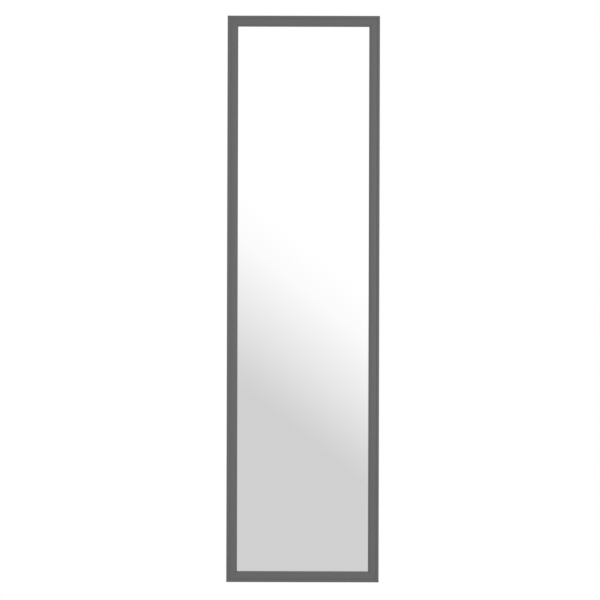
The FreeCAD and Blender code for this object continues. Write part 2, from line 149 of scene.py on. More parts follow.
# Hardboard, hot pressed on a wire screen: brown wood fibre in darker clumps, with the screen's print
# on the side that shows. The real screen is nearer 1.5 mm and a fibre far under 0.5 mm; both are drawn
# coarser so that they show.
def pressedHardboard():
    look = {"colours": ("#614830", "#967753"), "roughness": (0.95, 0.7),  # between fibres, on them
            "fibreLong": 4.5 * mm, "fibreWide": 0.5 * mm, "fibreTurns": (0.4, 1.5, 2.5), "clump": 14 * mm,
            "clumpShade": 0.62, "tones": (0.28, 0.72), "screen": 3.0 * mm, "relief": 0.25 * mm,
            "reliefShare": 0.6}
    waveTurn = 20  # radians that a wave node turns in each unit
    material, tree = newMaterial("hardboardScreenPressed")
    where = addNode(tree, "ShaderNodeTexCoord").outputs["Object"]
    strands = []
    for turn in look["fibreTurns"]:  # three lots of fibre that lie across each other
        laid = addNode(tree, "ShaderNodeMapping", {
            "Vector": where, "Rotation": [0, turn, 0],
            "Scale": [look["fibreLong"], look["fibreWide"], look["fibreWide"]]}, vector_type="TEXTURE")
        strands.append(addNode(tree, "ShaderNodeTexNoise", {
            "Vector": laid, "Scale": 1.0, "Detail": 2.0, "Distortion": 0.4}))
    crossed = addNode(tree, "ShaderNodeMath", {0: strands[0], 1: strands[1]}, operation="MAXIMUM")
    fibre = addNode(tree, "ShaderNodeMath", {0: crossed, 1: strands[2]}, operation="MAXIMUM")
    clump = addNode(tree, "ShaderNodeTexNoise", {
        "Vector": where, "Scale": 1 / look["clump"], "Detail": 6.0, "Roughness": 0.6})
    even = addNode(tree, "ShaderNodeMapRange", {
        "Value": clump, "To Min": look["clumpShade"], "To Max": 1.0})
    tone = addNode(tree, "ShaderNodeMath", {0: even, 1: fibre}, operation="MULTIPLY")
    shade = addNode(tree, "ShaderNodeMapRange", {
        "Value": tone, "From Min": look["tones"][0], "From Max": look["tones"][1]})
    wires = []
    for direction in ("X", "Z"):
        wires.append(addNode(tree, "ShaderNodeTexWave", {
            "Vector": where, "Scale": 2 * math.pi / waveTurn / look["screen"],
            "Distortion": 0.6, "Detail": 1.0}, bands_direction=direction).outputs[1])
    screen = addNode(tree, "ShaderNodeMath", {0: wires[0], 1: wires[1]}, operation="MULTIPLY")
    height = addNode(tree, "ShaderNodeMath", {0: screen, 1: fibre}, operation="ADD")
    finishSurface(tree, look, colourBy=shade, roughBy=fibre, reliefBy=height,
                  sockets={"Specular IOR Level": 0.3})
    return material


# Bright mild steel strip, cold rolled then stamped: roll lines, drawn coarser so that they show, and
# dull spots where it was gripped.
def stampedSteel():
    look = {"colours": ("#b9bcbe", "#8f9294"), "roughness": (0.22, 0.46),  # bright, dull spots
            "spot": 2.5 * mm, "rollLine": 0.35 * mm, "rollLong": 8 * mm, "relief": 0.02 * mm}
    material, tree = newMaterial("mildSteelRolledStamped")
    where = addNode(tree, "ShaderNodeTexCoord").outputs["Object"]
    rolled = addNode(tree, "ShaderNodeMapping", {
        "Vector": where, "Scale": [1 / look["rollLine"], 1 / look["rollLine"], 1 / look["rollLong"]]})
    lines = addNode(tree, "ShaderNodeTexNoise", {"Vector": rolled, "Scale": 1.0, "Detail": 2.0})
    spots = addNode(tree, "ShaderNodeTexNoise", {"Vector": where, "Scale": 1 / look["spot"], "Detail": 4.0})
    finishSurface(tree, look, colourBy=spots, roughBy=spots, reliefBy=lines, sockets={"Metallic": 1.0})
    return material


# Zinc plate on steel, barrel plated: cool bright grains of differing tone, drawn coarser so that they
# show, and fine rub marks from the barrel.
def zincPlate():
    look = {"colours": ("#cdd1d4", "#a9afb5"),  # bright grains, darker grains
            "grain": 0.9 * mm, "rub": 0.25 * mm, "roughness": (0.24, 0.42), "relief": 0.015 * mm}
    material, tree = newMaterial("zincBarrelPlated")
    where = addNode(tree, "ShaderNodeTexCoord").outputs["Object"]
    grain = addNode(tree, "ShaderNodeTexVoronoi", {"Vector": where, "Scale": 1 / look["grain"]})
    rub = addNode(tree, "ShaderNodeTexNoise", {"Vector": where, "Scale": 1 / look["rub"], "Detail": 2.0})
    finishSurface(tree, look, colourBy=grain.outputs["Color"], roughBy=rub, reliefBy=rub,
                  sockets={"Metallic": 1.0})
    return material


# Polyester powder coat, sprayed and baked on the strap steel: an even grey with orange peel.
def powderCoat():
    look = {"colours": ("#5a5a5b", "#646465"), "roughness": (0.36, 0.5),  # thin coat, thick coat
            "pool": 18 * mm, "peel": 1.3 * mm, "relief": 0.08 * mm}
    material, tree = newMaterial("polyesterPowderCoatBaked")
    where = addNode(tree, "ShaderNodeTexCoord").outputs["Object"]
    peel = addNode(tree, "ShaderNodeTexNoise", {"Vector": where, "Scale": 1 / look["peel"], "Detail": 1.0})
    pool = addNode(tree, "ShaderNodeTexNoise", {"Vector": where, "Scale": 1 / look["pool"], "Detail": 3.0})
    finishSurface(tree, look, colourBy=pool, roughBy=pool, reliefBy=peel)
    return material


# Wool felt, pressed and die cut: near-black tangled fibre with a soft lit edge. Its strands are drawn
# coarser so that they show.
def pressedFelt():
    look = {"colours": ("#242426", "#4b4b4e"), "tones": (0.1, 0.45),  # between strands, on them
            "strand": 0.35 * mm, "tuft": 2.4 * mm, "relief": 0.25 * mm}
    material, tree = newMaterial("woolFeltPressed")
    where = addNode(tree, "ShaderNodeTexCoord").outputs["Object"]
    strand = addNode(tree, "ShaderNodeTexNoise", {
        "Vector": where, "Scale": 1 / look["strand"], "Detail": 4.0, "Distortion": 1.5})
    tuft = addNode(tree, "ShaderNodeTexNoise", {"Vector": where, "Scale": 1 / look["tuft"], "Detail": 3.0})
    mixed = addNode(tree, "ShaderNodeMath", {0: strand, 1: tuft}, operation="MULTIPLY")
    shade = addNode(tree, "ShaderNodeMapRange", {
        "Value": mixed, "From Min": look["tones"][0], "From Max": look["tones"][1]})
    finishSurface(tree, look, colourBy=shade, reliefBy=mixed, sockets={
        "Roughness": 0.95, "Specular IOR Level": 0.15, "Sheen Weight": 0.4, "Sheen Roughness": 0.5})
    return material


# Black rubber, moulded in a fine-blasted tool: matt skin, a shade paler where it has been handled.
# The blasting is drawn coarser so that it shows.
def mouldedRubber():
    look = {"colours": ("#1c1c1d", "#2b2b2c"), "roughness": (0.6, 0.8),  # new skin, handled
            "patch": 4 * mm, "blast": 0.4 * mm, "relief": 0.04 * mm}
    material, tree = newMaterial("blackRubberMoulded")
    where = addNode(tree, "ShaderNodeTexCoord").outputs["Object"]
    blast = addNode(tree, "ShaderNodeTexNoise", {
        "Vector": where, "Scale": 1 / look["blast"], "Detail": 2.0})
    patch = addNode(tree, "ShaderNodeTexNoise", {
        "Vector": where, "Scale": 1 / look["patch"], "Detail": 3.0})
    finishSurface(tree, look, colourBy=patch, roughBy=patch, reliefBy=blast)
    return material


def newPiece(name, bm, *materials):  # a bmesh becomes an object at the origin
    mesh = bpy.data.meshes.new(name)
    bm.to_mesh(mesh)
    bm.free()
    for material in materials:
        mesh.materials.append(material)
    piece = bpy.data.objects.new(name, mesh)
    bpy.context.scene.collection.objects.link(piece)
    return piece


def plainMesh(piece):  # modifiers become a plain mesh, one for the piece
    graph = bpy.context.evaluated_depsgraph_get()
    made = bpy.data.meshes.new_from_object(
        piece.evaluated_get(graph), preserve_all_data_layers=True, depsgraph=graph)
    piece.modifiers.clear()
    piece.data = made


def shadeClean(piece, sharpAngle=35):  # smooth rounds beside flat faces that stay flat
    piece.data.shade_smooth()
    piece.data.set_sharp_from_angle(angle=math.radians(sharpAngle))
    weighted = piece.modifiers.new("flatFaces", "WEIGHTED_NORMAL")
    weighted.keep_sharp = True
    plainMesh(piece)


def runTree(piece, tree, **values):  # inputs by their labels with the spaces left out
    modifier = piece.modifiers.new(tree.name, "NODES")
    modifier.node_group = tree
    for item in tree.interface.items_tree:
        label = item.name.replace(" ", "")
        if item.in_out == "INPUT" and label in values:
            modifier[item.identifier] = values[label]
    plainMesh(piece)


def standFor(piece, body, slotName, *nodes):
    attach(piece, body)
    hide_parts(*nodes)


def newTree(name, sockets):
    tree = bpy.data.node_groups.new(name, "GeometryNodeTree")
    tree.interface.new_socket("Geometry", in_out="OUTPUT", socket_type="NodeSocketGeometry")
    for label, kind in sockets.items():
        tree.interface.new_socket(label, in_out="INPUT", socket_type=f"NodeSocket{kind}")
    return tree, addNode(tree, "NodeGroupInput").outputs


def turnAndPlace(tree, given, shape):  # the last nodes of both trees: turn about Y, move, realize, paint
    turn = addNode(tree, "ShaderNodeCombineXYZ", {"Y": given["Turn"]})
    spin = addNode(tree, "FunctionNodeEulerToRotation", {0: turn})
    placed = addNode(tree, "GeometryNodeTransform", {
        "Geometry": shape, "Rotation": spin, "Translation": given["Place"]})
    real = addNode(tree, "GeometryNodeRealizeInstances", {"Geometry": placed})
    painted = addNode(tree, "GeometryNodeSetMaterial", {"Geometry": real, "Material": given["Material"]})
    addNode(tree, "NodeGroupOutput", {"Geometry": painted})


# One length of moulding: the section is drawn out to its length, then both ends are mitred by
# shortening every line of the section by as much as it lies inside the outer edge.
def mouldingTree():
    tree, given = newTree("mouldingLength", {
        "Section": "Geometry", "Length": "Float", "Joint Gap": "Float", "Turn": "Float",
        "Place": "Vector", "Material": "Material"})
    reach = addNode(tree, "ShaderNodeCombineXYZ", {"X": given["Length"]})
    drawn = addNode(tree, "GeometryNodeExtrudeMesh", {
        "Mesh": given["Section"], "Offset": reach, "Offset Scale": 1.0, "Individual": False})
    start = addNode(tree, "GeometryNodeFlipFaces", {"Mesh": given["Section"]})
    joined = addNode(tree, "GeometryNodeJoinGeometry", {0: (drawn, start)})
    closed = addNode(tree, "GeometryNodeMergeByDistance", {"Geometry": joined, "Distance": 0.001 * mm})
    position = addNode(tree, "GeometryNodeInputPosition")
    apart = addNode(tree, "ShaderNodeCombineXYZ", {"Y": given["Turn"]})  # streaks differ on each length
    space = addNode(tree, "ShaderNodeVectorMath", {0: position, 1: apart}, operation="ADD")
    kept = addNode(tree, "GeometryNodeStoreNamedAttribute", {
        "Geometry": closed, "Name": "mouldingSpace", "Value": space},
        data_type="FLOAT_VECTOR", domain="POINT")
    axes = addNode(tree, "ShaderNodeSeparateXYZ", {0: position}).outputs
    share = addNode(tree, "ShaderNodeMath", {0: axes["X"], 1: given["Length"]}, operation="DIVIDE")
    side = addNode(tree, "ShaderNodeMath", {0: share, 1: 0.5}, operation="SUBTRACT")
    inset = addNode(tree, "ShaderNodeMath", {0: axes["Z"], 1: given["Joint Gap"]}, operation="SUBTRACT")
    both = addNode(tree, "ShaderNodeMath", {0: inset, 1: 2.0, 2: given["Length"]}, operation="MULTIPLY_ADD")
    mitred = addNode(tree, "ShaderNodeMath", {0: side, 1: both}, operation="MULTIPLY")
    there = addNode(tree, "ShaderNodeCombineXYZ", {"X": mitred, "Y": axes["Y"], "Z": axes["Z"]})
    shaped = addNode(tree, "GeometryNodeSetPosition", {"Geometry": kept, "Position": there})
    turnAndPlace(tree, given, shaped)
    return tree


# A row of like pieces, centred on its place, each spun a little about Y as a hand would leave it.
def rowTree():
    tree, given = newTree("rowOfPieces", {
        "Piece": "Geometry", "Count": "Int", "Step": "Vector", "Spin": "Float", "Seed": "Int",
        "Turn": "Float", "Place": "Vector", "Material": "Material"})
    steps = addNode(tree, "ShaderNodeMath", {0: given["Count"], 1: 1.0}, operation="SUBTRACT")
    half = addNode(tree, "ShaderNodeMath", {0: steps, 1: -0.5}, operation="MULTIPLY")
    start = addNode(tree, "ShaderNodeVectorMath", {0: given["Step"], "Scale": half}, operation="SCALE")
    line = addNode(tree, "GeometryNodeMeshLine", {
        "Count": given["Count"], "Start Location": start, "Offset": given["Step"]}, mode="OFFSET")
    least = addNode(tree, "ShaderNodeMath", {0: given["Spin"], 1: -1.0}, operation="MULTIPLY")
    chance = addNode(tree, "FunctionNodeRandomValue", {
        2: least, 3: given["Spin"], "Seed": given["Seed"]}, data_type="FLOAT")
    about = addNode(tree, "ShaderNodeCombineXYZ", {"Y": chance.outputs[1]})
    spun = addNode(tree, "FunctionNodeEulerToRotation", {0: about})
    row = addNode(tree, "GeometryNodeInstanceOnPoints", {
        "Points": line, "Instance": given["Piece"], "Rotation": spun})
    turnAndPlace(tree, given, row)
    return tree


def ringsToBmesh(rings, closed=False):  # walls between rings of points; a ring of one point is a pole
    bm = bmesh.new()
    made = [[bm.verts.new(point) for point in ring] for ring in rings]
    pairs = list(zip(made, made[1:]))
    if closed:
        pairs.append((made[-1], made[0]))
    for first, second in pairs:
        count = max(len(first), len(second))
        for i in range(count):
            j = (i + 1) % count
            corners = [first[i % len(first)], first[j % len(first)],
                       second[j % len(second)], second[i % len(second)]]
            bm.faces.new(list(dict.fromkeys(corners)))
    for end in (made[0], made[-1]):
        if not closed and len(end) > 1:
            bm.faces.new(end)
    bmesh.ops.recalc_face_normals(bm, faces=bm.faces)
    return bm


def turnedRings(profile, steps):  # rings about Y from (radius, height) pairs
    rings = []
    for radius, height in profile:
        if radius == 0:
            rings.append([Vector((0, height, 0))])
            continue
        angles = [2 * math.pi * i / steps for i in range(steps)]
        rings.append([Vector((radius * math.cos(a), height, radius * math.sin(a))) for a in angles])
    return rings


def easedCorner(before, corner, after, reach, steps):  # rounded from reach before the corner to reach after
    start = corner + (before - corner).normalized() * reach
    end = corner + (after - corner).normalized() * reach
    shares = [i / steps for i in range(steps + 1)]
    return [start.lerp(corner, t).lerp(corner.lerp(end, t), t) for t in shares]


def easedLoop(outline, steps):  # (point, reach) pairs, reach 0 for a sharp corner
    points = []
    for i, (corner, reach) in enumerate(outline):
        before = outline[i - 1][0]
        after = outline[(i + 1) % len(outline)][0]
        points += easedCorner(before, corner, after, reach, steps) if reach else [corner]
    return points


def crownedArc(start, end, crown, steps):  # from start to just before end, bulging to the left of the way
    chord = end - start
    radius = (chord.length ** 2 / 4 + crown ** 2) / (2 * crown)
    opening = math.asin(chord.length / 2 / radius)
    ahead = chord.normalized()
    up = Vector((-ahead.y, ahead.x))
    centre = (start + end) / 2 + up * (crown - radius)
    angles = [opening * (2 * i / steps - 1) for i in range(steps)]
    return [centre + radius * (up * math.cos(a) + ahead * math.sin(a)) for a in angles]


# Places that several pieces share, from the frame
topLow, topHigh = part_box("top_rail")
paneLow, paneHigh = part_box("mirror_pane")
boardLow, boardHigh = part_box("backing_board")
halfWidth = topHigh.x
backPlane = topHigh.y
frontPlane = topLow.y
frameTop = topHigh.z
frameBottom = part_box("bottom_rail")[0].z
frameMiddle = (frameTop + frameBottom) / 2

# Each side of the frame, clockwise: turn about Y, length, and the middle of its outer edge in X and Z
frameSides = {
    "top_rail": (0, 2 * halfWidth, 0, frameTop),
    "right_stile": (quarterTurn, frameTop - frameBottom, halfWidth, frameMiddle),
    "bottom_rail": (2 * quarterTurn, 2 * halfWidth, 0, frameBottom),
    "left_stile": (3 * quarterTurn, frameTop - frameBottom, -halfWidth, frameMiddle),
}

moulding = {
    "faceWidth": frameTop - topLow.z,
    "backWidth": 15.2 * mm,  # outer edge to rebate wall
    "rebateDepth": 9.0 * mm,
    "sightEdge": 3.0 * mm,
    "sightBand": 3.6 * mm,
    "sightRise": 0.7 * mm,
    "faceStep": 0.7 * mm,
    "faceCrown": 0.35 * mm,
    "beadWidth": 6.6 * mm,
    "beadCrown": 2.0 * mm,
    "beadDrop": 0.8 * mm,
    "softEdge": 0.35 * mm,  # paint rounds the arrises
    "jointGap": 0.08 * mm,
    "beadSteps": 16,
    "faceSteps": 10,
    "edgeSteps": 4,
}


def mouldingSection(sizes):  # u inward from the outer edge, v forward from the flat back
    soft = sizes["softEdge"]
    sightFront = sizes["rebateDepth"] + sizes["sightEdge"]
    faceFront = sightFront + sizes["sightRise"] + sizes["faceStep"]
    stepLine = sizes["faceWidth"] - sizes["sightBand"]
    beadFoot = Vector((0, faceFront - sizes["beadDrop"]))
    valley = Vector((sizes["beadWidth"], faceFront))
    faceEnd = Vector((stepLine, faceFront))
    bead = crownedArc(beadFoot, valley, sizes["beadCrown"], sizes["beadSteps"])
    crown = crownedArc(valley, faceEnd, sizes["faceCrown"], sizes["faceSteps"])
    outline = [(Vector((0, 0)), soft)]
    outline += [(point, 0) for point in bead + crown]
    outline += [
        (faceEnd, soft),
        (Vector((stepLine, sightFront + sizes["sightRise"])), 0),
        (Vector((sizes["faceWidth"], sightFront)), soft),
        (Vector((sizes["faceWidth"], sizes["rebateDepth"])), soft),
        (Vector((sizes["backWidth"], sizes["rebateDepth"])), 0),
        (Vector((sizes["backWidth"], 0)), soft),
    ]
    return [Vector((0, -v, -u)) for u, v in easedLoop(outline, sizes["edgeSteps"])]


def makeFrame(material):
    tree = mouldingTree()
    for name, (turn, length, x, z) in frameSides.items():
        bm = bmesh.new()
        bm.faces.new([bm.verts.new(point) for point in mouldingSection(moulding)])
        piece = newPiece(f"{name}_moulding", bm, material)
        runTree(piece, tree, Length=length, JointGap=moulding["jointGap"], Turn=turn,
                Place=(x, backPlane, z), Material=material)
        shadeClean(piece)
        standFor(piece, "mirror", "frame_moulding", name)
    print("frame: four mitred lengths of moulding")


pane = {"arris": 0.35 * mm, "arrisSteps": 2}
board = {"arris": 0.3 * mm, "arrisSteps": 2}


def flatSheet(name, low, high, sizes, *materials):
    bm = bmesh.new()
    bmesh.ops.create_cube(bm, size=1)
    for vert in bm.verts:
        vert.co = Vector(low[i] + (vert.co[i] + 0.5) * (high[i] - low[i]) for i in range(3))
    bmesh.ops.bevel(bm, geom=bm.edges[:], offset=sizes["arris"], segments=sizes["arrisSteps"], profile=0.5,
                    affect="EDGES")
    return newPiece(name, bm, *materials)


def makePaneAndBoard(silver, edge, paint, hardboard):
    glass = flatSheet("mirror_glass", paneLow, paneHigh, pane, edge, silver, paint)
    for polygon in glass.data.polygons:
        if abs(polygon.normal.y) > 0.99:  # silver in front, paint behind, and the edge stays as it is
            polygon.material_index = 1 if polygon.normal.y < 0 else 2
    shadeClean(glass)
    standFor(glass, "mirror", "silvered_glass", "mirror_pane")
    back = flatSheet("hardboard_back", boardLow, boardHigh, board, hardboard)
    shadeClean(back)
    standFor(back, "mirror", "hardboard", "backing_board")
    print("pane and board: in the rebate")


def plate(name, outline, fromY, toY, bevel, material):  # an outline in X and Z, given a thickness in Y
    low = [Vector((x, fromY, z)) for x, z in outline]
    high = [Vector((x, toY, z)) for x, z in outline]
    piece = newPiece(name, ringsToBmesh([low, high]), material)
    edges = piece.modifiers.new("edges", "BEVEL")
    edges.width = bevel
    edges.segments = 2
    edges.limit_method = "ANGLE"
    plainMesh(piece)
    return piece


retainingPoint = {
    "width": 5.0 * mm,
    "thick": 0.5 * mm,
    "grip": 6.0 * mm,   # in the moulding
    "reach": 7.0 * mm,  # over the board
    "tailRound": 1.2 * mm,
    "tailSteps": 5,
    "edge": 0.08 * mm,
    "counts": {"rail": 2, "stile": 5},
    "wobble": math.radians(3),
    "seed": 11,
}


def makeRetainingPoints(row, material):
    sizes = retainingPoint
    half = sizes["width"] / 2
    tail = -moulding["backWidth"] - sizes["reach"]
    tip = sizes["grip"] - moulding["backWidth"]
    corners = [(-half, tail, sizes["tailRound"]), (half, tail, sizes["tailRound"]),
               (half, tip - half, 0), (0, tip, 0), (-half, tip - half, 0)]
    outline = easedLoop([(Vector((x, z)), reach) for x, z, reach in corners], sizes["tailSteps"])
    spans = {"rail": paneHigh.x - paneLow.x, "stile": paneHigh.z - paneLow.z}
    for index, (name, (turn, _, x, z)) in enumerate(frameSides.items()):
        kind = name.split("_")[1]
        count = sizes["counts"][kind]
        tabs = plate(f"{name}_tabs", outline, 0, sizes["thick"], sizes["edge"], material)
        runTree(tabs, row, Count=count, Step=(spans[kind] / count, 0, 0), Spin=sizes["wobble"],
                Seed=sizes["seed"] + index, Turn=turn, Place=(x, boardHigh.y, z), Material=material)
        shadeClean(tabs)
        standFor(tabs, "mirror", "bright_steel", f"{name}_points")
    print("retaining points: behind the board on four sides")


cornerNail = {
    "thick": 0.6 * mm,
    "depth": 8.0 * mm,
    "inset": 3.2 * mm,  # first nail's point from both outer edges
    "pitch": 5.0 * mm,
    "leg": 6.0 * mm,
    "proud": 0.12 * mm,  # how far the driven end stands above the back
    "edge": 0.06 * mm,
}


def makeCornerNails(row, material):
    sizes = cornerNail
    thick = sizes["thick"]
    leg = sizes["leg"]
    step = sizes["pitch"]
    middle = sizes["inset"] + step / 2
    vee = [(0, 0), (0, -leg), (thick, -leg), (thick, -thick), (leg, -thick), (leg, 0)]
    right = halfWidth - middle
    top = frameTop - middle
    bottom = frameBottom + middle
    corners = {"top_left": (-right, top), "top_right": (right, top),
               "bottom_right": (right, bottom), "bottom_left": (-right, bottom)}
    for turns, (name, (x, z)) in enumerate(corners.items()):
        nails = plate(f"{name}_vnails", vee, -sizes["depth"], sizes["proud"], sizes["edge"], material)
        runTree(nails, row, Count=2, Step=(step, 0, -step), Spin=0.0, Seed=0, Turn=turns * quarterTurn,
                Place=(x, backPlane, z), Material=material)
        shadeClean(nails)
        standFor(nails, "mirror", "bright_steel", f"{name}_corner_nails")
    print("V-nails: two across each mitre")


screw = {
    "headRadius": 3.9 * mm,
    "headHeight": 2.4 * mm,
    "headSide": 1.2 * mm,
    "rim": 0.2 * mm,
    "domeSteps": 8,
    "shankRadius": 2.1 * mm,
    "rootRadius": 1.5 * mm,
    "length": 12.7 * mm,
    "tip": 2.5 * mm,
    "threadPitch": 1.4 * mm,
    "ringsPerPitch": 8,
    "steps": 32,
    "recessLength": 4.4 * mm,
    "recessWidth": 1.0 * mm,
    "recessDepth": 1.3 * mm,
    "recessTaper": 0.62,
    "pitch": 20 * mm,
    "spin": math.radians(40),
    "seed": 5,
}


def threadedRings(sizes):  # a sharp ridge that climbs one pitch a turn and runs out into the tip
    rings = []
    spacing = sizes["threadPitch"] / sizes["ringsPerPitch"]
    for level in range(1, int(sizes["length"] / spacing)):
        depth = level * spacing
        taper = min(1, (sizes["length"] - depth) / sizes["tip"])
        ring = []
        for i in range(sizes["steps"]):
            angle = 2 * math.pi * i / sizes["steps"]
            phase = (depth / sizes["threadPitch"] - i / sizes["steps"]) % 1
            ridge = max(0, 1 - abs(2 * phase - 1) * 2)
            radius = taper * (sizes["rootRadius"] + ridge * (sizes["shankRadius"] - sizes["rootRadius"]))
            ring.append(Vector((radius * math.cos(angle), -depth, radius * math.sin(angle))))
        rings.append(ring)
    rings.append([Vector((0, -sizes["length"], 0))])
    return rings


def recessRings(sizes):  # a cross that narrows to its floor, with a dimple for the driver's point
    far = sizes["recessLength"] / 2
    near = sizes["recessWidth"] / 2
    quarter = [(far, -near), (far, near), (near, near)]
    cross = []
    for _ in range(4):
        cross += quarter
        quarter = [(-z, x) for x, z in quarter]
    top = sizes["headHeight"] + sizes["rim"]
    floor = sizes["headHeight"] - sizes["recessDepth"]
    rings = []
    for scale, y in ((1, top), (sizes["recessTaper"], floor)):
        rings.append([Vector((x * scale, y, z * scale)) for x, z in cross])
    rings.append([Vector((0, floor - sizes["recessWidth"] / 3, 0))])
    return rings


def makeScrew(name, material):
    sizes = screw
    headRadius = sizes["headRadius"]
    rise = sizes["headHeight"] - sizes["headSide"]
    angles = [quarterTurn * i / sizes["domeSteps"] for i in range(sizes["domeSteps"] + 1)]
    head = [(headRadius * math.sin(a), sizes["headSide"] + rise * math.cos(a)) for a in angles]
    head += [(headRadius, sizes["rim"]), (headRadius - sizes["rim"], 0), (sizes["rootRadius"], 0)]
    rings = turnedRings(head, sizes["steps"]) + threadedRings(sizes)
    piece = newPiece(name, ringsToBmesh(rings), material)
    cutter = newPiece("recessCutter", ringsToBmesh(recessRings(sizes)), material)
    cut = piece.modifiers.new("recess", "BOOLEAN")
    cut.object = cutter
    cut.solver = "EXACT"
    plainMesh(piece)
    bpy.data.objects.remove(cutter)
    return piece


washer = {
    "radius": 4.6 * mm,
    "hole": 2.25 * mm,
    "thick": 0.8 * mm,
    "rim": 0.15 * mm,
    "rimSteps": 3,
    "steps": 40,
}


def makeWasher(name, material):
    sizes = washer
    corners = [(sizes["hole"], 0), (sizes["radius"], 0), (sizes["radius"], -sizes["thick"]),
               (sizes["hole"], -sizes["thick"])]
    outline = [(Vector(corner), sizes["rim"]) for corner in corners]
    rings = turnedRings(easedLoop(outline, sizes["rimSteps"]), sizes["steps"])
    return newPiece(name, ringsToBmesh(rings, closed=True), material)


def makeFixings(row, material):
    for index, side in enumerate(("left", "right")):
        screwLow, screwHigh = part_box(f"{side}_hanger_screws")
        middle = (screwLow + screwHigh) / 2
        place = (middle.x, screwHigh.y - screw["headHeight"], middle.z)
        for made, kind, spin in ((makeScrew, "screws", screw["spin"]), (makeWasher, "washers", 0.0)):
            fixing = made(f"{side}_{kind}", material)
            runTree(fixing, row, Count=2, Step=(screw["pitch"], 0, 0), Spin=spin,
                    Seed=screw["seed"] + index, Turn=0.0, Place=place, Material=material)
            shadeClean(fixing)
            standFor(fixing, "mirror", "zinc_plated_steel", f"{side}_hanger_{kind}")
    print("screws and washers: two at each strap")


bumper = {
    "rim": 0.9 * mm,
    "foot": 0.25 * mm,
    "rimSteps": 5,
    "dish": 0.3 * mm,
    "dishRadius": 2.6 * mm,
    "taper": 1.0 * mm,
    "steps": 48,
}


def makeBumpers(row, material):
    sizes = bumper
    for side in ("left", "right"):
        topRest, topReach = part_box(f"top_{side}_bumper")
        lowRest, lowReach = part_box(f"bottom_{side}_bumper")
        topMiddle = (topRest + topReach) / 2
        lowMiddle = (lowRest + lowReach) / 2
        base = (topReach.x - topRest.x) / 2
        height = topReach.y - topRest.y
        corners = [(0, 0, 0), (base, 0, sizes["foot"]), (base - sizes["taper"], height, sizes["rim"]),
                   (sizes["dishRadius"], height, sizes["foot"]), (0, height - sizes["dish"], 0)]
        outline = [(Vector((radius, y)), reach) for radius, y, reach in corners]
        rings = turnedRings(easedLoop(outline, sizes["rimSteps"]), sizes["steps"])
        piece = newPiece(f"{side}_bumpers", ringsToBmesh(rings), material)
        runTree(piece, row, Count=2, Step=(0, 0, topMiddle.z - lowMiddle.z), Spin=0.0, Seed=0, Turn=0.0,
                Place=(topMiddle.x, topRest.y, (topMiddle.z + lowMiddle.z) / 2), Material=material)
        shadeClean(piece)
        standFor(piece, "mirror", "bumper_rubber", f"top_{side}_bumper", f"bottom_{side}_bumper")
    print("bumpers: four on the stiles' backs")


strap = {
    "bend": 1.5 * mm,  # inside radius
    "bendSteps": 10,
    "endRound": 5.0 * mm,
    "roundSteps": 8,
    "edge": 0.3 * mm,  # the coat rounds the cut edges
    "edgeSteps": 3,
    "slotRadius": 2.45 * mm,
    "lipBelowPad": 3.0 * mm,
}


def quarterArc(centreX, centreS, radius, turns):  # in the flat pattern, X across the strip and S along it
    angles = [quarterTurn * (turns + i / strap["roundSteps"]) for i in range(strap["roundSteps"] + 1)]
    return [(centreX + radius * math.cos(a), centreS + radius * math.sin(a)) for a in angles]


def strapLoops(inset, halfWide, length, slots):  # outline and slots of the flat pattern, drawn in by inset
    x = halfWide - strap["endRound"]
    low = strap["endRound"]
    high = length - strap["endRound"]
    outline = []
    for turns, (cornerX, cornerS) in enumerate(((x, high), (-x, high), (-x, low), (x, low))):
        outline += quarterArc(cornerX, cornerS, strap["endRound"] - inset, turns)
    loops = [outline]
    for slotX, slotLow, slotHigh in slots:
        slot = []
        for turns, endS in enumerate((slotHigh, slotHigh, slotLow, slotLow)):  # each end is two quarters
            slot += quarterArc(slotX, endS, strap["slotRadius"] + inset, turns)[turns % 2:]
        loops.append(slot)
    return loops


def strapSheet(halfWide, length, thick, slots):  # the flat pattern in its thickness, with rounded rims
    edge = strap["edge"]
    turns = [quarterTurn * i / strap["edgeSteps"] for i in range(strap["edgeSteps"] + 1)]
    rim = [(edge * (1 - math.sin(a)), edge * (1 - math.cos(a)) - thick / 2) for a in turns]
    rim += [(inset, -t) for inset, t in reversed(rim)]
    bm = bmesh.new()
    layers = []
    for inset, t in rim:
        loops = strapLoops(inset, halfWide, length, slots)
        layers.append([[bm.verts.new((x, s, t)) for x, s in loop] for loop in loops])
    for lower, upper in zip(layers, layers[1:]):
        for first, second in zip(lower, upper):
            for i in range(len(first)):
                bm.faces.new((first[i - 1], first[i], second[i], second[i - 1]))
    for loops in (layers[0], layers[-1]):
        edges = [bm.edges.get((loop[i - 1], loop[i])) for loop in loops for i in range(len(loop))]
        bmesh.ops.triangle_fill(bm, use_beauty=True, edges=edges)
    return bm


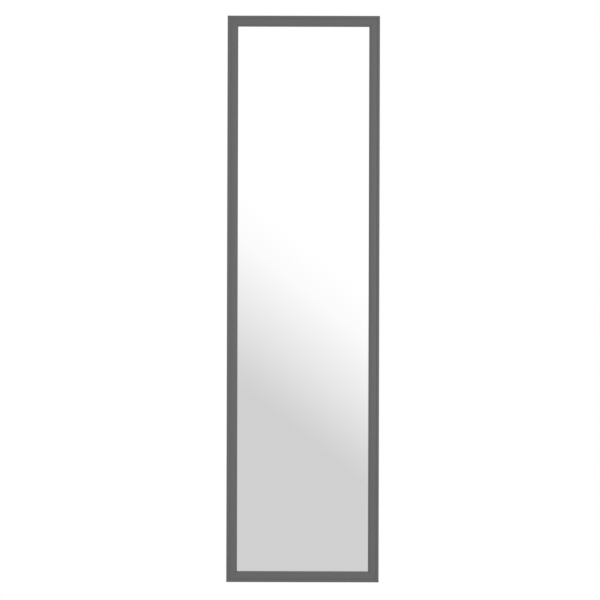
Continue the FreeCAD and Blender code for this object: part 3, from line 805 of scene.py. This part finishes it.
def makeStrap(side, material):
    low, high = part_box(f"{side}_hanger_strap")
    screwLow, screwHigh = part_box(f"{side}_hanger_screws")
    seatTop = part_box(f"{side}_seat_pad")[1].z
    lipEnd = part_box(f"{side}_lip_pad")[0].z - strap["lipBelowPad"]
    travel = next(joint["range_m"][1] for joint in frame["joints"] if joint["child"] == f"{side}_hanger")
    thick = high.z - seatTop
    middleX = (low.x + high.x) / 2
    midRadius = strap["bend"] + thick / 2
    bendLevel = seatTop - strap["bend"]
    firstBend = low.y + thick + strap["bend"]
    topLong = high.y - thick - strap["bend"] - firstBend
    arcLong = quarterTurn * midRadius
    legLong = bendLevel - low.z
    bends = (legLong, legLong + arcLong + topLong)  # where along the strip each bend starts
    length = bends[1] + arcLong + bendLevel - lipEnd
    screwLevel = (screwLow.z + screwHigh.z) / 2 - low.z
    slots = [(x, screwLevel - travel, screwLevel) for x in (-screw["pitch"] / 2, screw["pitch"] / 2)]

    def folded(x, s, t):  # flat pattern to its folded place; t is outward from the middle of the sheet
        angle = sum(min(max(s - start, 0), arcLong) for start in bends) / midRadius
        centreY = firstBend + min(max(s - bends[0] - arcLong, 0), topLong)
        centreZ = bendLevel + min(s - bends[0], 0) - max(s - bends[1] - arcLong, 0)
        radius = midRadius + t
        return Vector((middleX + x, centreY - radius * math.cos(angle), centreZ + radius * math.sin(angle)))

    bm = strapSheet((high.x - low.x) / 2, length, thick, slots)
    for start in bends:
        for i in range(strap["bendSteps"] + 1):  # rows of edges for the bend to follow
            rowPlace = (0, start + arcLong * i / strap["bendSteps"], 0)
            everything = bm.verts[:] + bm.edges[:] + bm.faces[:]
            bmesh.ops.bisect_plane(
                bm, geom=everything, dist=0.0001 * mm, plane_co=rowPlace, plane_no=(0, 1, 0))
    for vert in bm.verts:
        vert.co = folded(*vert.co)
    bmesh.ops.recalc_face_normals(bm, faces=bm.faces)
    piece = newPiece(f"{side}_strap", bm, material)
    shadeClean(piece)
    standFor(piece, f"{side}_hanger", "coated_steel", f"{side}_hanger_strap")
    print(f"{side} strap: folded from a flat pattern {length / mm:.1f} mm long")


felt = {
    "round": 0.55 * mm,
    "roundShares": (0, 0.1, 0.35, 1),  # rows across the rounded edge
    "cell": 1.1 * mm,
    "nap": 0.07 * mm,
    "napSize": 1.6 * mm,
    "ragged": 0.18 * mm,
    "sharpAngle": 80,
}


def feltGrid(low, high):  # places across a pad, close together at its two edges
    rim = [felt["round"] * share for share in felt["roundShares"]]
    inner = high - low - 2 * felt["round"]
    count = round(inner / felt["cell"])
    middle = [felt["round"] + inner * i / count for i in range(1, count)]
    return [low + d for d in rim + middle] + [high - d for d in reversed(rim)]


def makeFeltPad(name, node, body, thinAxis, material):
    low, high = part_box(node)
    centre = (low + high) / 2
    half = (high[thinAxis] - low[thinAxis]) / 2
    wide = [axis for axis in range(3) if axis != thinAxis]
    first, second = [feltGrid(low[axis], high[axis]) for axis in wide]
    bm = bmesh.new()
    layers = ({}, {})
    for i, a in enumerate(first):
        for j, b in enumerate(second):
            point = centre.copy()
            point[wide[0]] = a
            point[wide[1]] = b
            fromEdge = min(a - first[0], first[-1] - a, b - second[0], second[-1] - b)
            if fromEdge == 0:  # the two faces meet at a slightly ragged cut edge
                pull = felt["ragged"] * (noise.noise(Vector((a, b, 0)) / felt["napSize"]) + 1) / 2
                point += (centre - point).normalized() * pull
                layers[0][i, j] = layers[1][i, j] = bm.verts.new(point)
                continue
            fullness = math.sqrt(1 - (1 - min(1, fromEdge / felt["round"])) ** 2)
            for layer, sign in zip(layers, (1, -1)):
                nap = felt["nap"] * (noise.noise(Vector((a, b, sign * half)) / felt["napSize"]) - 1) / 2
                point[thinAxis] = centre[thinAxis] + sign * fullness * (half + nap)
                layer[i, j] = bm.verts.new(point)
    for layer in layers:
        for i in range(len(first) - 1):
            for j in range(len(second) - 1):
                bm.faces.new((layer[i, j], layer[i + 1, j], layer[i + 1, j + 1], layer[i, j + 1]))
    bmesh.ops.recalc_face_normals(bm, faces=bm.faces)
    pad = newPiece(name, bm, material)
    shadeClean(pad, felt["sharpAngle"])
    standFor(pad, body, "felt", node)


def makeHangers(coat, cloth):
    for side in ("left", "right"):
        makeStrap(side, coat)
        makeFeltPad(f"{side}_seat_felt", f"{side}_seat_pad", f"{side}_hanger", 2, cloth)
        makeFeltPad(f"{side}_lip_felt", f"{side}_lip_pad", f"{side}_hanger", 1, cloth)
    print("hangers: straps and felt")


camera = {
    "distance": 3.6,        # to the frame's front face
    "field": 1324 * mm,     # seen across the picture at that face
    "sideways": -6.9 * mm,  # lens axis from the object's middle
    "down": 2.25 * mm,
    "roll": math.radians(-0.15),
}


def setCamera():
    data = bpy.data.cameras.new("photoCamera")
    data.lens = data.sensor_width * camera["distance"] / camera["field"]
    lens = bpy.data.objects.new("photoCamera", data)
    lens.location = (camera["sideways"], frontPlane - camera["distance"], frameMiddle - camera["down"])
    lens.rotation_euler = (quarterTurn, camera["roll"], 0)
    bpy.context.scene.collection.objects.link(lens)
    bpy.context.scene.camera = lens


studio = {
    "doorHeight": 2.032,      # the floor lies a door's height below the hooks
    "floorTone": "#f2f2f1",
    "floorFade": (2.2, 3.4),  # from the middle, where the floor starts to go white and is white
    "floorSteps": 96,
    "white": "#ffffff",
    "skyLight": 0.84,
    "keyPower": 26,
    "keySize": 2.2,
    "keyPlace": (1.7, -2.8, -0.2),
}


def lightStudio():
    world = bpy.data.worlds.new("whiteStudio")
    bpy.context.scene.world = world
    world.use_nodes = True
    tree = world.node_tree
    tree.nodes.clear()
    path = addNode(tree, "ShaderNodeLightPath").outputs
    first = addNode(tree, "ShaderNodeMath", {
        0: path["Is Camera Ray"], 1: path["Is Glossy Ray"]}, operation="ADD")
    seen = addNode(tree, "ShaderNodeMath", {
        0: first, 1: path["Is Transmission Ray"]}, operation="ADD", use_clamp=True)
    white = linear(studio["white"])
    light = addNode(tree, "ShaderNodeBackground", {"Color": white, "Strength": studio["skyLight"]})
    shown = addNode(tree, "ShaderNodeBackground", {"Color": white, "Strength": 1.0})
    both = addNode(tree, "ShaderNodeMixShader", {0: seen, 1: light, 2: shown})
    addNode(tree, "ShaderNodeOutputWorld", {"Surface": both})
    lamp = bpy.data.lights.new("keySoftbox", "AREA")
    lamp.energy = studio["keyPower"]
    lamp.size = studio["keySize"]
    key = bpy.data.objects.new("keySoftbox", lamp)
    key.location = studio["keyPlace"]
    aim = Vector((0, frontPlane, frameMiddle)) - key.location
    key.rotation_euler = aim.to_track_quat("-Z", "Y").to_euler()
    bpy.context.scene.collection.objects.link(key)


def layFloor():
    fadeStart, fadeEnd = studio["floorFade"]
    material, tree = newMaterial("paleFloorMatt")
    where = addNode(tree, "ShaderNodeTexCoord").outputs["Object"]
    flat = addNode(tree, "ShaderNodeVectorMath", {0: where, 1: [1, 1, 0]}, operation="MULTIPLY")
    out = addNode(tree, "ShaderNodeVectorMath", {0: flat}, operation="LENGTH")
    fade = addNode(tree, "ShaderNodeMapRange", {
        "Value": out.outputs["Value"], "From Min": fadeStart, "From Max": fadeEnd},
        interpolation_type="SMOOTHSTEP")
    matt = addNode(tree, "ShaderNodeBsdfPrincipled", {
        "Base Color": linear(studio["floorTone"]), "Roughness": 0.8})
    white = addNode(tree, "ShaderNodeEmission", {"Color": linear(studio["white"]), "Strength": 1.0})
    surface = addNode(tree, "ShaderNodeMixShader", {0: fade, 1: matt, 2: white})
    addNode(tree, "ShaderNodeOutputMaterial", {"Surface": surface})
    bm = bmesh.new()
    bmesh.ops.create_circle(bm, cap_ends=True, radius=fadeEnd, segments=studio["floorSteps"])
    for vert in bm.verts:
        vert.co.z = -studio["doorHeight"]
    newPiece("studio_floor", bm, material)


# Glowing cards that only reflections see, one for the photo's angle and one for a three-quarter view. Each
# is a painted reflection:
# white, falling to painted grey shade below a slanting line, lighting nothing. Without them the glass looks
# like an empty frame.
card = {
    "fadeFrom": 158 * mm,  # seen in the glass, above its middle
    "fadeTo": -304 * mm,
    "slope": 0.78,         # the fade's fall to the right
    "strength": 1.11,      # the silver gives back nine tenths
    # the painted reflection's tones, from white down to painted grey shade
    "tones": {0.0: "#ffffff", 0.3: "#f9f9f9", 0.65: "#e5e5e5", 0.9: "#d4d4d4", 1.0: "#cfcfcf"},
}
# In metres; border is the share of a card that melts away
frontCard = {"distance": 5.6, "halfWidth": 1.3, "halfHeight": 3.5, "border": 0.4}
sideCard = {"distance": 1.0, "halfWidth": 0.5, "halfHeight": 1.0, "border": 0.15,
            "azimuth": 45, "elevation": 25, "eye": 3.7}


def paintedReflectionCard(name, centre, right, up, grows, sizes):
    down = -card["slope"] * right - up
    level = centre.dot(down)
    material, tree = newMaterial(f"{name}Graded")
    where = addNode(tree, "ShaderNodeTexCoord").outputs["Object"]
    fall = addNode(tree, "ShaderNodeVectorMath", {0: where, 1: down}, operation="DOT_PRODUCT")
    share = addNode(tree, "ShaderNodeMapRange", {
        "Value": fall.outputs["Value"], "From Min": level - grows * card["fadeFrom"],
        "From Max": level - grows * card["fadeTo"]})
    ramp = addNode(tree, "ShaderNodeValToRGB", {0: share})
    stops = ramp.color_ramp.elements
    for place, tone in card["tones"].items():
        stop = stops[0] if place == 0 else stops[-1] if place == 1 else stops.new(place)
        stop.color = linear(tone)
    # the card glows with this painted reflection though it is no lamp
    glow = addNode(tree, "ShaderNodeEmission", {"Color": ramp, "Strength": card["strength"]})
    fromCentre = addNode(tree, "ShaderNodeVectorMath", {0: where, 1: centre}, operation="SUBTRACT")
    borders = []
    for direction, reach in ((right, sizes["halfWidth"]), (up, sizes["halfHeight"])):
        along = addNode(tree, "ShaderNodeVectorMath", {
            0: fromCentre, 1: direction}, operation="DOT_PRODUCT").outputs["Value"]
        away = addNode(tree, "ShaderNodeMath", {0: along}, operation="ABSOLUTE")
        borders.append(addNode(tree, "ShaderNodeMapRange", {
            "Value": away, "From Min": reach * (1 - sizes["border"]), "From Max": reach},
            interpolation_type="SMOOTHSTEP"))
    border = addNode(tree, "ShaderNodeMath", {0: borders[0], 1: borders[1]}, operation="MAXIMUM")
    clear = addNode(tree, "ShaderNodeBsdfTransparent")
    surface = addNode(tree, "ShaderNodeMixShader", {0: border, 1: glow, 2: clear})
    addNode(tree, "ShaderNodeOutputMaterial", {"Surface": surface})
    return material


def hangCard(name, eye, sizes):
    middle = (paneLow + paneHigh) / 2
    middle.y = paneLow.y
    image = Vector((eye.x, 2 * middle.y - eye.y, eye.z))  # where the glass shows the eye
    reach = (middle - image).xy.length
    grows = (reach + sizes["distance"]) / reach  # glass to card, spreading from that image
    centre = image + (middle - image) * grows
    ahead = (middle - image).xy.normalized()
    right = Vector((-ahead.y, ahead.x, 0))
    up = Vector((0, 0, 1))
    across = right * sizes["halfWidth"]
    rise = up * sizes["halfHeight"]
    bm = bmesh.new()
    bm.faces.new([bm.verts.new(point) for point in (
        centre + across - rise, centre - across - rise, centre - across + rise, centre + across + rise)])
    sheet = newPiece(name, bm, paintedReflectionCard(name, centre, right, up, grows, sizes))
    sheet.visible_camera = False
    sheet.visible_diffuse = False
    sheet.visible_shadow = False


def hangCards():
    hangCard("frontCard", bpy.context.scene.camera.location, frontCard)
    azimuth = math.radians(sideCard["azimuth"])
    elevation = math.radians(sideCard["elevation"])
    toEye = Vector((math.sin(azimuth) * math.cos(elevation), -math.cos(azimuth) * math.cos(elevation),
                    math.sin(elevation)))
    hangCard("sideCard", Vector((0, 0, frameMiddle)) + toEye * sideCard["eye"], sideCard)


def buildMirror():
    steel = stampedSteel()
    row = rowTree()
    makeFrame(paintedMoulding())
    makePaneAndBoard(silveredGlass(), groundGlassEdge(), mirrorBackPaint(), pressedHardboard())
    makeRetainingPoints(row, steel)
    makeCornerNails(row, steel)
    makeFixings(row, zincPlate())
    makeBumpers(row, mouldedRubber())
    makeHangers(powderCoat(), pressedFelt())


bpy.context.scene.view_settings.view_transform = "Standard"
buildMirror()
setCamera()
lightStudio()
layFloor()
hangCards()
print("studio: camera, light, floor and cards")
